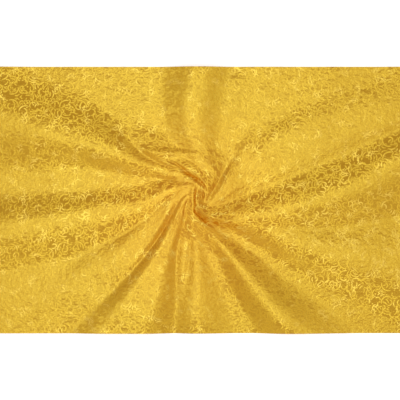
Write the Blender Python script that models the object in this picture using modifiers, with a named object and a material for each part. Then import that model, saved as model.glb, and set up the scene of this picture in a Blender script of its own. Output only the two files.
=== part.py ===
"""A cut length of brocade, pinched and twisted at its middle, with folds that run out to its edges."""

import math
from collections import namedtuple

import bmesh
import bpy
import numpy as np

# Sizes in metres, on a flat surface at z = 0
WIDTH = 0.660
DEPTH = 0.426
THICKNESS = 0.0015
EYE_X = 0.0
EYE_Y = 0.0076

# The pinched middle: a low dome, turned clockwise as the folds come in
DOME_HEIGHT = 0.009
DOME_RADIUS = 0.085
TWIST_DEG = 85.0
TWIST_RADIUS = 0.038
TWIST_POWER = 2.3
FOLDS_START = 0.010
FOLDS_FULL = 0.052
MERGE_POWER = 4.0

# Mesh: sectors around the eye, rings from the eye to the edge
SECTORS = 116
RINGS = 19
FIRST_RING = 0.013

# Radii at which each fold gives its bearing, flank widths and height
STATIONS = (0.040, 0.096, 0.192, 0.320)

# Bearings of a crest and widths of its clockwise and anticlockwise flanks are in degrees
# anticlockwise from +X, heights in millimetres, one value for each station.
Fold = namedtuple("Fold", "name bearing clockwise anticlockwise height flat_top")
FOLDS = (
    Fold("right", (301, 338, 358, 370), (26, 22, 25, 20), (50, 40, 21, 9), (8, 13, 15, 15), 0.0),
    Fold("right shoulder", (378, 383, 391, 382), (55, 34, 26, 5), (16, 39, 13, 15), (1.5, 4, 4.5, 4), 0.2),
    Fold("top", (75, 95, 91, 84), (39, 27, 17, 18), (18, 28, 19, 19), (0, 6.5, 10, 7), 0.1),
    Fold("hood", (111, 138, 140, 140), (38, 30, 12, 10), (10, 7, 6, 6), (0, 5.5, 0, 0), 0.0),
    Fold("upper left", (126, 150, 156, 158), (21, 11, 20, 16), (15, 14, 12, 18), (0, 5.5, 14, 14), 0.0),
    Fold("left", (166, 190, 190, 191), (21, 24, 14, 12), (12, 24, 19, 12), (1, 6, 7.5, 10.5), 0.1),
    Fold("left shoulder", (190, 219, 224, 222), (24, 25, 22, 28), (16, 8, 8, 8), (0.5, 6, 4.5, 3.5), 0.2),
    Fold("lower left", (218, 236, 241, 240), (16, 13, 18, 18), (15, 13, 20, 20), (3, 6.5, 12, 12), 0.3),
    Fold("lower", (246, 256, 262, 267), (13, 11, 5, 8), (14, 7, 8, 8), (0.5, 2.5, 3, 0), 0.0),
    Fold("lower middle", (252, 267, 268, 270), (20, 12, 12, 5), (22, 12, 19, 17), (2, 3.5, 9, 5.5), 0.0),
    Fold("lower right", (267, 296, 301, 306), (30, 15, 13, 8), (17, 14, 17, 15), (3.5, 5, 13, 15), 0.0),
    Fold("right ridge", (300, 330, 333, 337), (7, 16, 14, 12), (7, 9, 24, 24), (6, 9.5, 11, 10), 0.0),
)


def twist(radius):
    """Degrees by which a line of the cloth has turned clockwise at this radius."""
    return TWIST_DEG / (1 + (radius / TWIST_RADIUS) ** TWIST_POWER)


def along(values, radius):
    """A fold's column read at any radius, smoothly between its stations."""
    knots = np.log(STATIONS)
    slopes = np.gradient(np.array(values, float), knots)
    place = np.clip(np.log(radius), knots[0], knots[-1])
    left = np.clip(np.searchsorted(knots, place) - 1, 0, len(knots) - 2)
    step = knots[left + 1] - knots[left]
    t = (place - knots[left]) / step
    values = np.array(values, float)
    start = values[left] * (2 * t**3 - 3 * t**2 + 1) + slopes[left] * step * (t**3 - 2 * t**2 + t)
    end = values[left + 1] * (3 * t**2 - 2 * t**3) + slopes[left + 1] * step * (t**3 - t**2)
    return start + end


def smoothstep(low, high, value):
    t = np.clip((value - low) / (high - low), 0, 1)
    return t * t * (3 - 2 * t)


def fold_height(fold, radius, bearing):
    """One fold: a soft ridge with a flank on each side of its crest."""
    turned = np.array(fold.bearing, float) + twist(np.array(STATIONS))
    offset = (bearing - along(turned, radius) + 180) % 360 - 180
    width = np.where(offset < 0, along(fold.clockwise, radius), along(fold.anticlockwise, radius))
    across = np.clip((np.abs(offset) / width - fold.flat_top) / (1 - fold.flat_top), 0, 1)
    crest = np.maximum(along(fold.height, radius), 0) / 1000
    return crest * 0.5 * (1 + np.cos(math.pi * across))


def height(radius, bearing):
    """Height of the underside; the bearing is that of the line before the middle was twisted."""
    merged = sum(fold_height(fold, radius, bearing) ** MERGE_POWER for fold in FOLDS)
    folds = merged ** (1 / MERGE_POWER) * smoothstep(FOLDS_START, FOLDS_FULL, radius)
    dome = DOME_HEIGHT * np.clip(1 - (radius / DOME_RADIUS) ** 2, 0, 1) ** 2
    return folds + dome


def edge_radius(bearing):
    """Distance from the eye to the rectangle's edge along a bearing in degrees."""
    run = np.cos(np.radians(bearing))
    rise = np.sin(np.radians(bearing))
    to_side = (WIDTH / 2 - np.sign(run) * EYE_X) / np.maximum(np.abs(run), 1e-9)
    to_end = (DEPTH / 2 - np.sign(rise) * EYE_Y) / np.maximum(np.abs(rise), 1e-9)
    return np.minimum(to_side, to_end)


def edge_bearings():
    """Bearings of the sectors at the edge, clockwise, with one on each corner."""
    signs = ((1, 1), (1, -1), (-1, -1), (-1, 1), (1, 1))
    corners = [math.degrees(math.atan2(y * DEPTH / 2 - EYE_Y, x * WIDTH / 2 - EYE_X)) for x, y in signs]
    bearings = []
    for start, end in zip(corners, corners[1:]):
        span = (start - end) % 360
        steps = round(SECTORS * span / 360)
        bearings += [start - span * step / steps for step in range(steps)]
    return np.array(bearings + [corners[0] - 360])


def cloth_points():
    """Points of the underside, indexed by ring from the eye and by sector."""
    bearings = edge_bearings()
    edge = edge_radius(bearings)
    growth = np.arange(RINGS) / (RINGS - 1)
    radius = FIRST_RING * (edge / FIRST_RING) ** growth[:, None]
    radius = np.vstack([np.full((1, len(bearings)), 1e-7), radius])
    line = bearings + twist(edge)
    angle = np.radians(line - twist(radius))
    x = EYE_X + radius * np.cos(angle)
    y = EYE_Y + radius * np.sin(angle)
    return np.stack([x, y, height(radius, line)], axis=-1)


def cloth_surface():
    """The underside as a grid wound around the eye, closed at its seam and at the eye."""
    points = cloth_points()
    rings, sectors = points.shape[0] - 1, points.shape[1] - 1
    mesh = bmesh.new()
    bmesh.ops.create_grid(mesh, x_segments=sectors, y_segments=rings, size=1)
    for vert in mesh.verts:
        sector = round((vert.co.x + 1) / 2 * sectors)
        ring = round((vert.co.y + 1) / 2 * rings)
        vert.co = points[ring, sector]
    bmesh.ops.remove_doubles(mesh, verts=mesh.verts, dist=1e-5)
    data = bpy.data.meshes.new("brocade_cloth")
    mesh.to_mesh(data)
    mesh.free()
    data.shade_smooth()
    return data


def gold_satin():
    material = bpy.data.materials.new("gold satin")
    material.use_nodes = True
    shader = material.node_tree.nodes["Principled BSDF"]
    shader.inputs["Base Color"].default_value = (0.70, 0.42, 0.04, 1)
    shader.inputs["Roughness"].default_value = 0.45
    shader.inputs["Metallic"].default_value = 0.3
    return material


def main():
    for old in list(bpy.data.objects):
        bpy.data.objects.remove(old)
    collection = bpy.data.collections.new("Brocade cloth")
    bpy.context.scene.collection.children.link(collection)
    cloth = bpy.data.objects.new("brocade_cloth", cloth_surface())
    cloth.data.materials.append(gold_satin())
    collection.objects.link(cloth)
    body = cloth.modifiers.new("Cloth thickness", "SOLIDIFY")
    body.thickness = THICKNESS
    body.offset = 1
    body.use_even_offset = False


main()
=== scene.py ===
"""A cut length of gold brocade, lying pinched and twisted at its middle, dressed around its CAD frame."""

import math
from collections import namedtuple

import bmesh
import bpy
import numpy as np
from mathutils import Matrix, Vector, noise


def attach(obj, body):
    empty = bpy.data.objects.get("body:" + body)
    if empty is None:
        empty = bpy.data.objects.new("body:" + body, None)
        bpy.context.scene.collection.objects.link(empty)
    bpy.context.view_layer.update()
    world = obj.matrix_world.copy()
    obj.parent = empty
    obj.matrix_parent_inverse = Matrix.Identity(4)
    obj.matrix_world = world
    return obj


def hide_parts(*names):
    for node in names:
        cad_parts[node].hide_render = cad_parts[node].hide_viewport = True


# Sizes in metres, with the surface that the cloth lies on at z = 0. The width, the depth and the
# folds are those of the CAD solid, and the cloth is thinner than it. The eye is the point that
# the cloth is twisted about.
WIDTH = 0.660
DEPTH = 0.426
CLOTH_THICKNESS = 0.0008
EYE_X = 0.0
EYE_Y = 0.0076
MM_PER_M = 1000

# The photo's frame: 400 pixels take in 0.64 m of cloth, seen from straight above
PHOTO_WIDTH = 0.640
CAMERA_HEIGHT = 2.4
SENSOR_MM = 36.0

# The pinched middle: a low dome, turned clockwise as the folds come in
DOME_HEIGHT = 0.009
DOME_RADIUS = 0.085
TWIST_DEG = 85.0
TWIST_RADIUS = 0.038
TWIST_POWER = 2.3
FOLDS_START = 0.006
FOLDS_FULL = 0.046
MERGE_POWER = 4.0

# Length of flat cloth that the pinch has drawn in, and the radius within which most of it went
PULLED_IN = 0.010
PULL_RADIUS = 0.020

# Mesh: sectors around the eye, rings from the eye to the edge. The weld closes the innermost
# ring to a point, and no division is by less than the value near zero.
SECTORS = 330
RINGS = 130
FIRST_RING = 0.0025
INNERMOST_RING = 1e-7
WELD_DISTANCE = 1e-6
NEAR_ZERO = 1e-9

# Name of the map of places in the flat cloth, and how much of a baked picture's width the
# cloth takes up
WEAVE_MAP = "Weave"
BAKE_SHARE = 0.98

# Radii at which each fold gives its bearing, flank widths and height
STATIONS = (0.040, 0.096, 0.192, 0.320)

# Bearings of a crest and widths of its clockwise and anticlockwise flanks are in degrees
# anticlockwise from +X, heights in millimetres, one value for each station.
Fold = namedtuple("Fold", "name bearing clockwise anticlockwise height flat_top")
FOLDS = (
    Fold("right", (301, 338, 358, 370), (26, 22, 25, 20), (50, 40, 21, 9), (8, 13, 15, 15), 0.0),
    Fold("right shoulder", (378, 383, 391, 382), (55, 34, 26, 5), (16, 39, 13, 15), (1.5, 4, 4.5, 4), 0.2),
    Fold("top", (75, 95, 91, 84), (39, 27, 17, 18), (18, 28, 19, 19), (0, 6.5, 10, 7), 0.1),
    Fold("hood", (111, 138, 140, 140), (38, 30, 12, 10), (10, 7, 6, 6), (0, 5.5, 0, 0), 0.0),
    Fold("upper left", (126, 150, 156, 158), (21, 11, 20, 16), (15, 14, 12, 18), (0, 5.5, 14, 14), 0.0),
    Fold("left", (166, 190, 190, 191), (21, 24, 14, 12), (12, 24, 19, 12), (1, 6, 7.5, 10.5), 0.1),
    Fold("left shoulder", (190, 219, 224, 222), (24, 25, 22, 28), (16, 8, 8, 8), (0.5, 6, 4.5, 3.5), 0.2),
    Fold("lower left", (218, 236, 241, 240), (16, 13, 18, 18), (15, 13, 20, 20), (3, 6.5, 12, 12), 0.3),
    Fold("lower", (246, 256, 262, 267), (13, 11, 5, 8), (14, 7, 8, 8), (0.5, 2.5, 3, 0), 0.0),
    Fold("lower middle", (252, 267, 268, 270), (20, 12, 12, 5), (22, 12, 19, 17), (2, 3.5, 9, 5.5), 0.0),
    Fold("lower right", (267, 296, 301, 306), (30, 15, 13, 8), (17, 14, 17, 15), (3.5, 5, 13, 15), 0.0),
    Fold("right ridge", (300, 330, 333, 337), (7, 16, 14, 12), (7, 9, 24, 24), (6, 9.5, 11, 10), 0.0),
)

# Creases: points along each as millimetres and degrees from the eye, then in millimetres the height
# of a ridge, or minus the depth of a trough, its widths to the left and right, and how far it leans
# over to its right.
Crease = namedtuple("Crease", "name points height left right lean")
CREASES = (
    Crease("hood lip", (
        (92, 133), (75, 127), (67, 124), (56, 119), (46, 111), (40, 103), (27, 83), (20, 61),
        (16, 37), (15, 8), (13, -22), (12, -60),
    ), 1.2, 6.0, 2.8, 0.8),
    Crease("hood crevice", (
        (116, 143), (100, 140), (86, 137), (67, 129), (56, 125), (48, 122), (40, 119), (32, 111),
        (24, 96), (17, 72), (13, 45), (11, 10), (11, -30),
    ), -3.8, 2.2, 3.4, 0.0),
    Crease("streak", (
        (122, 147), (104, 144), (86, 141), (72, 137), (60, 131), (50, 124), (42, 117),
    ), 1.5, 4.5, 1.8, 0.2),
    Crease("left pocket", (
        (110, 163), (92, 162), (75, 160), (60, 155), (48, 149), (38, 143),
    ), -2.0, 3.3, 3.9, 0.0),
    Crease("left fill", ((42, 166), (54, 167), (67, 168), (80, 169), (96, 170)), 1.2, 6.0, 5.0, 0.0),
    Crease("inner lip", (
        (25, 105), (17, 125), (12, 163), (14, 211), (20, 238), (29, 248), (37, 257),
    ), 1.2, 2.0, 4.0, -0.3),
    Crease("inner crease", (
        (22, 98), (13, 117), (8, 160), (11, 217), (18, 242), (27, 251), (34, 258),
    ), -2.3, 1.6, 1.4, 0.0),
    Crease("eye pocket", ((14, 95), (7, 70), (3, -30), (9, -80), (16, -96)), -3.8, 4.0, 5.5, 0.0),
    Crease("slit", (
        (20, 236), (24, 246), (28, 254), (34, 268), (39, 277), (44, 284), (54, 292),
    ), -3.2, 1.5, 2.0, 0.0),
    Crease("slit's lip", (
        (20, 250), (26, 268), (30, 281), (37, 294), (42, 305), (53, 314), (70, 322), (94, 328),
        (120, 330),
    ), 1.0, 5.0, 3.0, 0.5),
    Crease("upper right valley", (
        (10, 260), (12, 290), (14, 318), (17, 355), (22, 20), (31, 32), (43, 41), (60, 46), (82, 49),
        (104, 47),
    ), -2.8, 5.0, 4.4, 0.0),
    Crease("upper band", (
        (150, 150), (125, 144), (102, 137), (87, 128), (77, 117), (68, 104), (65, 93), (63, 84),
    ), 2.8, 4.4, 7.0, 0.0),
    Crease("lower left crest", (
        (16, 172), (22, 190), (30, 204), (38, 214), (51, 222), (67, 230), (82, 233), (142, 241),
    ), 0.6, 2.2, 2.4, 0.3),
    Crease("lower right crest", (
        (22, 238), (30, 251), (40, 269), (51, 278), (59, 283), (91, 296), (141, 301),
    ), 0.8, 2.2, 2.0, 0.2),
)

# A crease fades over a share of its length at each end. Across, it is a cosine to a power and
# reaches this many times its width. Its path takes this many steps from point to point.
CREASE_FADE = 0.45
CREASE_POWER = 1.5
CREASE_REACH = 2
PATH_STEPS = 12

# Unevenness of the flat cloth: height in millimetres and how many per metre. The last is
# drawn out along the folds, with its count around the eye.
Waves = namedtuple("Waves", "name height count seed")
WAVES = (
    Waves("broad", 1.6, 14.0, 3.0),
    Waves("middle", 0.55, 34.0, 11.0),
    Waves("small", 0.18, 90.0, 23.0),
)
STRAINS = Waves("drawn out", 0.9, 36.0, 37.0)

# The strains change with the logarithm of the metres from the eye, counted from this start
STRAIN_CHANGE = 1.2
STRAIN_START = 0.02

# Metres from the eye between which the waves and the strains come in
WAVES_FROM, WAVES_FULL = 0.02, 0.12
STRAINS_FROM, STRAINS_FULL = 0.01, 0.07

# The woven vine, listed as a chart: each row is a stroke of a stem, curl, leaf, hook or berry, an
# arc about x and y with the bearing of its middle and its sweep in degrees. Lengths are
# millimetres. A leaf has two ribs, gap from its middle line. The power keeps a stroke wide until
# near its ends. The chart is mirrored at each side.
CHART = (46.0, 34.0)
Stroke = namedtuple("Stroke", "name x y radius facing sweep width gap")
STROKES = (
    Stroke("stem rising", 9, 13, 9.0, -50, 130, 0.95, 0.0),
    Stroke("stem turning", 25, 23, 9.5, 140, 130, 0.95, 0.0),
    Stroke("stem falling", 39, 13, 8.5, 60, 150, 0.95, 0.0),
    Stroke("first curl", 8, 13, 4.2, 160, 200, 0.9, 0.0),
    Stroke("second curl", 25, 21, 4.8, 10, 200, 0.9, 0.0),
    Stroke("third curl", 38, 12, 4.4, 230, 200, 0.9, 0.0),
    Stroke("leaf under the stem", 15, 7, 7.0, 290, 90, 0.75, 1.9),
    Stroke("leaf over the stem", 9, 20, 8.0, 75, 80, 0.75, 1.9),
    Stroke("leaf beside the curl", 36, 26, 7.0, 170, 80, 0.75, 1.9),
    Stroke("leaf at the end", 29, 8, 6.5, 340, 80, 0.75, 1.9),
    Stroke("upper leaf", 40, 33, 7.5, 250, 80, 0.75, 1.9),
    Stroke("hook at the corner", 3, 30, 3.4, 60, 170, 0.9, 0.0),
    Stroke("hook on the stem", 16, 20, 3.2, 190, 160, 0.9, 0.0),
    Stroke("hook under the curl", 23, 9, 3.4, 240, 170, 0.9, 0.0),
    Stroke("hook by the leaf", 15, 30, 3.4, 30, 170, 0.9, 0.0),
    Stroke("hook at the foot", 2, 4, 3.6, 160, 170, 0.9, 0.0),
    Stroke("hook at the right", 44, 22, 3.4, 300, 170, 0.9, 0.0),
    Stroke("hook at the top", 27, 32, 3.2, 80, 160, 0.9, 0.0),
    Stroke("hook below", 35, 1, 3.4, 30, 170, 0.9, 0.0),
    Stroke("berry", 20, 27, 0.0, 0, 360, 1.1, 0.0),
    Stroke("berry by the curl", 30, 15, 0.0, 0, 360, 1.1, 0.0),
    Stroke("berry by the hook", 9, 4, 0.0, 0, 360, 1.1, 0.0),
)
TAPER_POWER = 4.0

# The vine is woven three times, each turned in degrees, scaled, shifted in millimetres and
# passing beneath the one before with a gap. Ground turns into vine over 1 mm divided by the
# sharpness of its edge.
Layer = namedtuple("Layer", "name turn scale x y")
LAYERS = (
    Layer("upper vine", 0, 0.86, 0, 0),
    Layer("middle vine", 292, 0.90, 87, 41),
    Layer("lower vine", 74, 0.82, 55, 64),
)
PASSING_GAP = 0.7
EDGE_SHARPNESS = 2.5

# Colours are linear
WHITE = (1.0, 1.0, 1.0, 1.0)
GROUND_COLOUR = (0.42, 0.155, 0.001, 1.0)
MOTIF_COLOUR = (0.55, 0.255, 0.009, 1.0)
# Painted highlight: a paler colour that the vine's threads take in patches
PAINTED_GLINT_COLOUR = (0.73, 0.42, 0.065, 1.0)
LEMON_SHEEN = (1.0, 0.81, 0.10, 1.0)
REVERSE_GROUND = (0.56, 0.31, 0.045, 1.0)
REVERSE_MOTIF = (0.40, 0.17, 0.012, 1.0)

# Painted shade: the gathered folds are painted a darker orange, in place of the light bounced between
# them, fully so near a place and less so up to its reach, in metres from the eye in the flat cloth
PAINTED_SHADE_GROUND = (0.50, 0.118, 0.0002, 1.0)
PAINTED_SHADE_MOTIF = (0.61, 0.205, 0.003, 1.0)
PAINTED_SHADE_PLACE = (-0.01, -0.03, 0.0)
PAINTED_SHADE_REACH = 0.20
PAINTED_SHADE_FULL = 0.02

# Satin gloss of the face, where the vine's threads lie across those of the ground
SATIN_IOR = 3.5
SATIN_ROUGHNESS = 0.48
GLINT_ROUGHNESS = 0.43
SATIN_ANISOTROPY = 0.9
QUARTER_TURN = 0.25
COAT_WEIGHT = 0.05
COAT_ROUGHNESS = 0.38
REVERSE_ROUGHNESS = 0.7

# Patches of painted glint and glossier thread on the vine, puckers and thread ribs, as counts per
# metre and heights in metres. The puckers are pulled flatter at the eye.
GLINT_COUNT = 60.0
GLINT_DETAIL = 1.0
GLINT_RANGE = (0.54, 0.68)
PUCKER_COUNT = 170.0
PUCKER_DETAIL = 3.0
PUCKER_ROUGHNESS = 0.55
PUCKER_HEIGHT = 0.0009
TAUT_RADIUS = 0.02
SLACK_RADIUS = 0.10
TAUT_SHARE = 0.35
RIB_COUNT = 1100.0
RIB_DETAIL = 1.0
RIB_DISTORTION = 1.0
RIB_HEIGHT = 0.00001
REVERSE_RIB_HEIGHT = 0.00008

# Blender's wave texture repeats every pi / 10 units at a scale of 1
WAVE_TEXTURE_PERIOD = math.pi / 10

# Places in the flat cloth, as metres from the eye, where the painted glints and glossier threads gather or
# thin out
Gathering = namedtuple("Gathering", "name x y reach change")
GATHERINGS = (
    Gathering("right ridge", 0.26, -0.07, 0.13, 0.10),
    Gathering("left hollows", -0.24, -0.04, 0.10, 0.05),
    Gathering("shaded lower folds", 0.10, -0.17, 0.12, -0.16),
)

# Lights aim at the middle of the cloth; the floor glows a little, as a light table does
Softbox = namedtuple("Softbox", "name place size watts")
SOFTBOXES = (
    Softbox("overhead softbox", (-0.12, 0.05, 2.2), 0.6, 19.0),
    Softbox("front softbox", (0.7, -2.4, 2.2), 1.6, 25.0),
)
ROOM_LIGHT = 0.53
FLOOR_SIZE = 8.0
FLOOR_DROP = 0.0003
FLOOR_ROUGHNESS = 0.9
FLOOR_GLOW = 0.2


def twist(radius):
    """Degrees by which a line of the cloth has turned clockwise at this radius."""
    return TWIST_DEG / (1 + (radius / TWIST_RADIUS) ** TWIST_POWER)


def along(values, radius):
    """A fold's column read at any radius, smoothly between its stations."""
    knots = np.log(STATIONS)
    values = np.array(values, float)
    slopes = np.gradient(values, knots)
    place = np.clip(np.log(radius), knots[0], knots[-1])
    left = np.clip(np.searchsorted(knots, place) - 1, 0, len(knots) - 2)
    step = knots[left + 1] - knots[left]
    t = (place - knots[left]) / step
    start = values[left] * (2 * t**3 - 3 * t**2 + 1) + slopes[left] * step * (t**3 - 2 * t**2 + t)
    end = values[left + 1] * (3 * t**2 - 2 * t**3) + slopes[left + 1] * step * (t**3 - t**2)
    return start + end


def smoothstep(low, high, value):
    t = np.clip((value - low) / (high - low), 0, 1)
    return t * t * (3 - 2 * t)


def fold_height(fold, radius, bearing):
    """One fold: a soft ridge with a flank on each side of its crest."""
    turned = np.array(fold.bearing, float) + twist(np.array(STATIONS))
    offset = (bearing - along(turned, radius) + 180) % 360 - 180
    width = np.where(offset < 0, along(fold.clockwise, radius), along(fold.anticlockwise, radius))
    across = np.clip((np.abs(offset) / width - fold.flat_top) / (1 - fold.flat_top), 0, 1)
    crest = np.maximum(along(fold.height, radius), 0) / MM_PER_M
    return crest * 0.5 * (1 + np.cos(math.pi * across))


def folds_height(radius, bearing):
    """Height of the folds and the dome; the bearing is that of the line before the twist."""
    merged = sum(fold_height(fold, radius, bearing) ** MERGE_POWER for fold in FOLDS)
    folds = merged ** (1 / MERGE_POWER) * smoothstep(FOLDS_START, FOLDS_FULL, radius)
    dome = DOME_HEIGHT * np.clip(1 - (radius / DOME_RADIUS) ** 2, 0, 1) ** 2
    return folds + dome


def smooth_path(points):
    """A Catmull-Rom curve through points given as millimetres and degrees from the eye."""
    reach, bearing = np.array(points, float).T
    angle = np.radians(bearing)
    points = np.stack([reach * np.cos(angle), reach * np.sin(angle)], axis=-1) / MM_PER_M
    points = np.vstack([2 * points[0] - points[1], points, 2 * points[-1] - points[-2]])
    path = []
    for a, b, c, d in zip(points, points[1:], points[2:], points[3:]):
        cubic = -a + 3 * b - 3 * c + d
        square = 2 * a - 5 * b + 4 * c - d
        for t in np.linspace(0, 1, PATH_STEPS, endpoint=False):
            path.append(0.5 * (2 * b + (c - a) * t + square * t**2 + cubic * t**3))
    path.append(points[-2])
    return np.array(path)


def crease_move(crease, x, y):
    """How far a crease moves the cloth in x, y and z, fading at both of its ends."""
    path = smooth_path(crease.points)
    run = np.gradient(path, axis=0)
    run /= np.linalg.norm(run, axis=-1, keepdims=True)
    place = np.stack([x - EYE_X, y - EYE_Y], axis=-1)
    offsets = place[..., None, :] - path
    away = np.linalg.norm(offsets, axis=-1)
    nearest = away.argmin(axis=-1)
    offset = np.take_along_axis(offsets, nearest[..., None, None], axis=-2)[..., 0, :]
    along_x, along_y = run[nearest][..., 0], run[nearest][..., 1]
    side = along_x * offset[..., 1] - along_y * offset[..., 0]
    width = np.where(side > 0, crease.left, crease.right) / MM_PER_M
    across = np.clip(away.min(axis=-1) / (CREASE_REACH * width), 0, 1)
    share = nearest / (len(path) - 1)
    fade = smoothstep(0, CREASE_FADE, share) * smoothstep(0, CREASE_FADE, 1 - share)
    swell = fade * (0.5 + 0.5 * np.cos(math.pi * across)) ** CREASE_POWER / MM_PER_M
    return crease.lean * swell * along_y, -crease.lean * swell * along_x, crease.height * swell


def noise_at(x, y, z):
    """Smooth noise from about -1 to 1 at each place."""
    x, y, z = np.broadcast_arrays(x, y, z)
    places = np.stack([x.ravel(), y.ravel(), z.ravel()], axis=-1)
    return np.array([noise.noise(place) for place in places.tolist()]).reshape(x.shape)


def unevenness(x, y, radius, bearing):
    """Soft waves of the flat cloth, and strains drawn out towards the eye."""
    waves = sum(wave.height * noise_at(x * wave.count, y * wave.count, wave.seed) for wave in WAVES)
    turn = STRAINS.count / (2 * math.pi)
    angle = np.radians(bearing)
    depth = STRAINS.seed + STRAIN_CHANGE * np.log(radius + STRAIN_START)
    strains = STRAINS.height * noise_at(np.cos(angle) * turn, np.sin(angle) * turn, depth)
    waves = waves * smoothstep(WAVES_FROM, WAVES_FULL, radius)
    strains = strains * smoothstep(STRAINS_FROM, STRAINS_FULL, radius)
    return (waves + strains) / MM_PER_M


def edge_radius(bearing):
    """Distance from the eye to the rectangle's edge along a bearing in degrees."""
    run = np.cos(np.radians(bearing))
    rise = np.sin(np.radians(bearing))
    to_side = (WIDTH / 2 - np.sign(run) * EYE_X) / np.maximum(np.abs(run), NEAR_ZERO)
    to_end = (DEPTH / 2 - np.sign(rise) * EYE_Y) / np.maximum(np.abs(rise), NEAR_ZERO)
    return np.minimum(to_side, to_end)


def edge_bearings():
    """Bearings of the sectors at the edge, clockwise, with one on each corner."""
    right, left = WIDTH / 2 - EYE_X, -WIDTH / 2 - EYE_X
    far, near = DEPTH / 2 - EYE_Y, -DEPTH / 2 - EYE_Y
    round_trip = ((right, far), (right, near), (left, near), (left, far), (right, far))
    corners = [math.degrees(math.atan2(y, x)) for x, y in round_trip]
    bearings = []
    for start, end in zip(corners, corners[1:]):
        span = (start - end) % 360
        steps = round(SECTORS * span / 360)
        bearings += [start - span * step / steps for step in range(steps)]
    return np.array(bearings + [corners[0] - 360])


def cloth_points():
    """Points of the underside and their places in the flat cloth, by ring and sector."""
    bearings = edge_bearings()
    edge = edge_radius(bearings)
    growth = np.arange(RINGS) / (RINGS - 1)
    radius = FIRST_RING * (edge / FIRST_RING) ** growth[:, None]
    radius = np.vstack([np.full((1, len(bearings)), INNERMOST_RING), radius])
    line = bearings + twist(edge)
    angle = np.radians(line - twist(radius))
    x = EYE_X + radius * np.cos(angle)
    y = EYE_Y + radius * np.sin(angle)
    z = folds_height(radius, line)
    moves = [crease_move(crease, x, y) for crease in CREASES]
    z = z + unevenness(x, y, radius, line) + sum(move[2] for move in moves)
    x = x + sum(move[0] for move in moves)
    y = y + sum(move[1] for move in moves)
    flat_radius = radius + PULLED_IN * (1 - np.exp(-radius / PULL_RADIUS))
    flat_angle = np.radians(line)
    flat = np.stack([flat_radius * np.cos(flat_angle), flat_radius * np.sin(flat_angle)], axis=-1)
    return np.stack([x, y, np.maximum(z, 0)], axis=-1), flat


def cloth_sheet():
    """The cloth as a grid wound around the eye, closed at its seam and at the eye."""
    points, flat = cloth_points()
    rings, sectors = points.shape[0] - 1, points.shape[1] - 1
    mesh = bmesh.new()
    bmesh.ops.create_grid(mesh, x_segments=sectors, y_segments=rings, size=1)
    weave = mesh.loops.layers.uv.new(WEAVE_MAP)
    bake = mesh.loops.layers.uv.new("OFBake")
    places = {}
    for vert in mesh.verts:
        sector = round((vert.co.x + 1) / 2 * sectors)
        ring = round((vert.co.y + 1) / 2 * rings)
        places[vert] = (ring, sector)
        vert.co = points[ring, sector]
    for face in mesh.faces:
        for loop in face.loops:
            ring, sector = places[loop.vert]
            loop[weave].uv = flat[ring, sector]
            x, y = points[ring, sector, :2]
            loop[bake].uv = (x / WIDTH * BAKE_SHARE + 0.5, y / WIDTH * BAKE_SHARE + 0.5)
    bmesh.ops.remove_doubles(mesh, verts=mesh.verts, dist=WELD_DISTANCE)
    for edge in mesh.edges:
        edge.smooth = not edge.is_boundary
    for face in mesh.faces:
        face.smooth = True
    data = bpy.data.meshes.new("cloth")
    mesh.to_mesh(data)
    mesh.free()
    return data


def new_material(name):
    """A material, its node tree and its shader."""
    material = bpy.data.materials.new(name)
    material.use_nodes = True
    return material, material.node_tree, material.node_tree.nodes["Principled BSDF"]


def fill(tree, target, values):
    """Links or sets a node's inputs, given by index or name."""
    for key, value in values.items():
        if isinstance(value, bpy.types.NodeSocket):
            tree.links.new(value, target.inputs[key])
        else:
            target.inputs[key].default_value = value


def node(tree, kind, values=None, **settings):
    """Adds a node, sets its properties and fills its inputs."""
    made = tree.nodes.new(kind)
    for name, value in settings.items():
        setattr(made, name, value)
    fill(tree, made, values or {})
    return made


def maths(tree, operation, first, second=0.0, third=0.0, clamp=False):
    values = {0: first, 1: second, 2: third}
    return node(tree, "ShaderNodeMath", values, operation=operation, use_clamp=clamp).outputs[0]


def distance(tree, first, second):
    """How far apart two places are."""
    return node(tree, "ShaderNodeVectorMath", {0: first, 1: second}, operation="DISTANCE").outputs[1]


def run_along(tree, place, way):
    """How far a place lies along a direction."""
    return node(tree, "ShaderNodeVectorMath", {0: place, 1: way}, operation="DOT_PRODUCT").outputs[1]


def ranged(tree, value, low, high, start=0.0, end=1.0):
    """A number that goes from start to end while the value goes from low to high."""
    values = {0: value, 1: low, 2: high, 3: start, 4: end}
    return node(tree, "ShaderNodeMapRange", values).outputs[0]


def mixed(tree, share, first, second):
    """A colour between two others."""
    return node(tree, "ShaderNodeMix", {0: share, 6: first, 7: second}, data_type="RGBA").outputs[2]


def weave_places(tree):
    """Places in the flat cloth, as metres from the eye."""
    return node(tree, "ShaderNodeUVMap", uv_map=WEAVE_MAP).outputs[0]


def stroke_depth(tree, place, stroke):
    """How far inside a stroke a place of the chart lies, in millimetres."""
    reach = distance(tree, place, (stroke.x, stroke.y, 0))
    half = stroke.width
    if stroke.sweep < 360:
        facing = math.radians(stroke.facing)
        way = (math.cos(facing), math.sin(facing), 0)
        centre_run = stroke.x * way[0] + stroke.y * way[1]
        taper = 1 / (1 - math.cos(math.radians(stroke.sweep / 2)))
        place_run = run_along(tree, place, way)
        run = maths(tree, "MULTIPLY_ADD", place_run, taper, -centre_run * taper)
        # This is 0 at the stroke's middle and 1 at both of its ends
        off_middle = maths(tree, "SUBTRACT", taper, maths(tree, "DIVIDE", run, reach))
        narrowing = maths(tree, "POWER", off_middle, TAPER_POWER)
        half = maths(tree, "MULTIPLY_ADD", narrowing, -stroke.width, stroke.width)
    away = maths(tree, "ABSOLUTE", maths(tree, "SUBTRACT", reach, stroke.radius))
    if stroke.gap:
        away = maths(tree, "ABSOLUTE", maths(tree, "SUBTRACT", away, stroke.gap))
    return maths(tree, "SUBTRACT", half, away)


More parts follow.
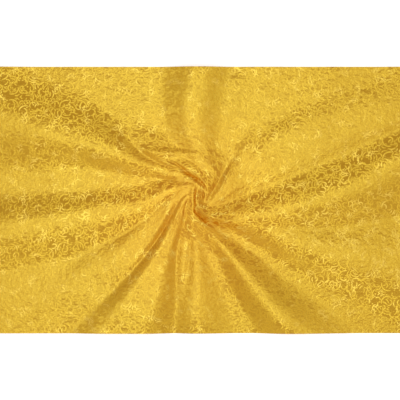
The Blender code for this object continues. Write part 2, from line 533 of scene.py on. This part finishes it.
def vine_depth(tree, weave, layer):
    """How far inside the layer's vine a place of the cloth lies, below zero outside it."""
    values = {"Vector": weave, "Location": (layer.x, layer.y, 0)}
    values["Rotation"] = (0, 0, math.radians(layer.turn))
    values["Scale"] = (layer.scale * MM_PER_M,) * 3
    turned = node(tree, "ShaderNodeMapping", values).outputs[0]
    parts = node(tree, "ShaderNodeSeparateXYZ", {0: turned}).outputs
    across = maths(tree, "PINGPONG", parts[0], CHART[0])
    up = maths(tree, "PINGPONG", parts[1], CHART[1])
    place = node(tree, "ShaderNodeCombineXYZ", {0: across, 1: up}).outputs[0]
    depth = stroke_depth(tree, place, STROKES[0])
    for stroke in STROKES[1:]:
        depth = maths(tree, "MAXIMUM", depth, stroke_depth(tree, place, stroke))
    return depth


def motif_mask(tree, weave):
    """1 on the woven vines and 0 on the satin ground."""
    top = vine_depth(tree, weave, LAYERS[0])
    for layer in LAYERS[1:]:
        clear = maths(tree, "MULTIPLY_ADD", top, -1.0, -PASSING_GAP)
        beneath = maths(tree, "MINIMUM", vine_depth(tree, weave, layer), clear)
        top = maths(tree, "MAXIMUM", top, beneath)
    return maths(tree, "MULTIPLY_ADD", top, EDGE_SHARPNESS, 0.5, clamp=True)


def ribs(tree, weave, height):
    """Thread ribs across the cloth, as a height in metres."""
    values = {"Vector": weave, "Scale": RIB_COUNT * WAVE_TEXTURE_PERIOD}
    values["Distortion"] = RIB_DISTORTION
    values["Detail"] = RIB_DETAIL
    wave = node(tree, "ShaderNodeTexWave", values).outputs[1]
    return maths(tree, "MULTIPLY", wave, height)


def puckers(tree, weave):
    """Small puckers of the weave, as a height in metres."""
    values = {"Vector": weave, "Scale": PUCKER_COUNT}
    values["Detail"] = PUCKER_DETAIL
    values["Roughness"] = PUCKER_ROUGHNESS
    bumps = node(tree, "ShaderNodeTexNoise", values).outputs[0]
    reach = node(tree, "ShaderNodeVectorMath", {0: weave}, operation="LENGTH").outputs[1]
    slack = ranged(tree, reach, TAUT_RADIUS, SLACK_RADIUS, TAUT_SHARE, 1.0)
    return maths(tree, "MULTIPLY", maths(tree, "MULTIPLY", bumps, slack), PUCKER_HEIGHT)


def relief(tree, weave, rib_height):
    """The bump of the puckers and ribs, whose heights are metres."""
    height = maths(tree, "ADD", puckers(tree, weave), ribs(tree, weave, rib_height))
    return node(tree, "ShaderNodeBump", {"Height": height, "Distance": 1.0, "Strength": 1.0}).outputs[0]


def painted_glint_and_gloss_patches(tree, weave):
    """1 where the vine carries a painted glint and glossier threads and 0 where it doesn't, in soft
    patches.
    """
    values = {"Vector": weave, "Scale": GLINT_COUNT, "Detail": GLINT_DETAIL}
    patches = node(tree, "ShaderNodeTexNoise", values).outputs[0]
    for place in GATHERINGS:
        away = distance(tree, weave, (place.x, place.y, 0))
        change = ranged(tree, away, place.reach, 0.0, 0.0, place.change)
        patches = maths(tree, "ADD", patches, change)
    return ranged(tree, patches, *GLINT_RANGE)


def brocade():
    """The face of the weave: satin ground, with the vine's threads lying across its own."""
    material, tree, shader = new_material("gold brocade")
    weave = weave_places(tree)
    mask = motif_mask(tree, weave)
    # Painted shade: the colours turn a darker orange towards the gathered folds near the eye
    painted_shade = ranged(tree, distance(tree, weave, PAINTED_SHADE_PLACE), PAINTED_SHADE_REACH, PAINTED_SHADE_FULL)
    painted_glints_and_gloss = painted_glint_and_gloss_patches(tree, weave)
    ground = mixed(tree, painted_shade, GROUND_COLOUR, PAINTED_SHADE_GROUND)
    # Painted highlight: in the glint patches the vine's colour turns paler
    motif = mixed(tree, painted_glints_and_gloss, mixed(tree, painted_shade, MOTIF_COLOUR, PAINTED_SHADE_MOTIF), PAINTED_GLINT_COLOUR)
    glossy = maths(tree, "MULTIPLY", painted_glints_and_gloss, mask)
    tangent = node(tree, "ShaderNodeTangent", direction_type="UV_MAP", uv_map=WEAVE_MAP)
    fill(tree, shader, {
        "Base Color": mixed(tree, mask, ground, motif),
        "Roughness": ranged(tree, glossy, 0.0, 1.0, SATIN_ROUGHNESS, GLINT_ROUGHNESS),
        "IOR": SATIN_IOR,
        "Specular Tint": LEMON_SHEEN,
        "Coat Weight": COAT_WEIGHT,
        "Coat Roughness": COAT_ROUGHNESS,
        "Anisotropic": SATIN_ANISOTROPY,
        "Anisotropic Rotation": maths(tree, "MULTIPLY", mask, QUARTER_TURN),
        "Tangent": tangent.outputs[0],
        "Normal": relief(tree, weave, RIB_HEIGHT),
    })
    return material


def reverse_side():
    """The back of the weave: matte, ribbed, and darker behind the vine."""
    material, tree, shader = new_material("brocade reverse")
    weave = weave_places(tree)
    fill(tree, shader, {
        "Base Color": mixed(tree, motif_mask(tree, weave), REVERSE_GROUND, REVERSE_MOTIF),
        "Roughness": REVERSE_ROUGHNESS,
        "Normal": relief(tree, weave, REVERSE_RIB_HEIGHT),
    })
    return material


def make_cloth():
    cloth = bpy.data.objects.new("cloth", cloth_sheet())
    bpy.context.scene.collection.objects.link(cloth)
    cloth.data.materials.append(brocade())
    cloth.data.materials.append(reverse_side())
    body = cloth.modifiers.new("Cloth thickness", "SOLIDIFY")
    body.thickness = CLOTH_THICKNESS
    body.offset = 1
    body.use_even_offset = False
    body.material_offset = 1
    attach(cloth, "root")
    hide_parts("brocade_cloth")


def make_floor():
    bpy.ops.mesh.primitive_plane_add(size=FLOOR_SIZE, location=(0, 0, -FLOOR_DROP))
    floor = bpy.context.object
    floor.name = "floor"
    material, tree, shader = new_material("white floor")
    fill(tree, shader, {
        "Base Color": WHITE,
        "Roughness": FLOOR_ROUGHNESS,
        "Emission Color": WHITE,
        "Emission Strength": FLOOR_GLOW,
    })
    floor.data.materials.append(material)


def make_lights():
    for softbox in SOFTBOXES:
        lamp = bpy.data.lights.new(softbox.name, "AREA")
        lamp.energy = softbox.watts
        lamp.size = softbox.size
        light = bpy.data.objects.new(softbox.name, lamp)
        light.location = softbox.place
        light.rotation_mode = "QUATERNION"
        light.rotation_quaternion = (-Vector(softbox.place)).to_track_quat("-Z", "Y")
        bpy.context.scene.collection.objects.link(light)
    world = bpy.data.worlds.new("soft room")
    bpy.context.scene.world = world
    world.use_nodes = True
    background = world.node_tree.nodes["Background"]
    fill(world.node_tree, background, {"Color": WHITE, "Strength": ROOM_LIGHT})
    bpy.context.scene.view_settings.view_transform = "Standard"


def make_camera():
    lens = bpy.data.cameras.new("camera")
    lens.sensor_width = SENSOR_MM
    lens.lens = SENSOR_MM * CAMERA_HEIGHT / PHOTO_WIDTH
    camera = bpy.data.objects.new("camera", lens)
    camera.location = (0, 0, CAMERA_HEIGHT)
    bpy.context.scene.collection.objects.link(camera)
    bpy.context.scene.camera = camera


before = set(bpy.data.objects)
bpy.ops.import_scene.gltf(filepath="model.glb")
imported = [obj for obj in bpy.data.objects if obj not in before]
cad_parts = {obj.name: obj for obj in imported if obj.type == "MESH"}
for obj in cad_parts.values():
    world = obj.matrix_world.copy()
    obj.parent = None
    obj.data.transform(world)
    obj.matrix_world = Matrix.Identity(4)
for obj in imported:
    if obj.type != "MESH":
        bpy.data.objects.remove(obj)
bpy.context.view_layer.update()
make_floor()
make_cloth()
make_lights()
make_camera()
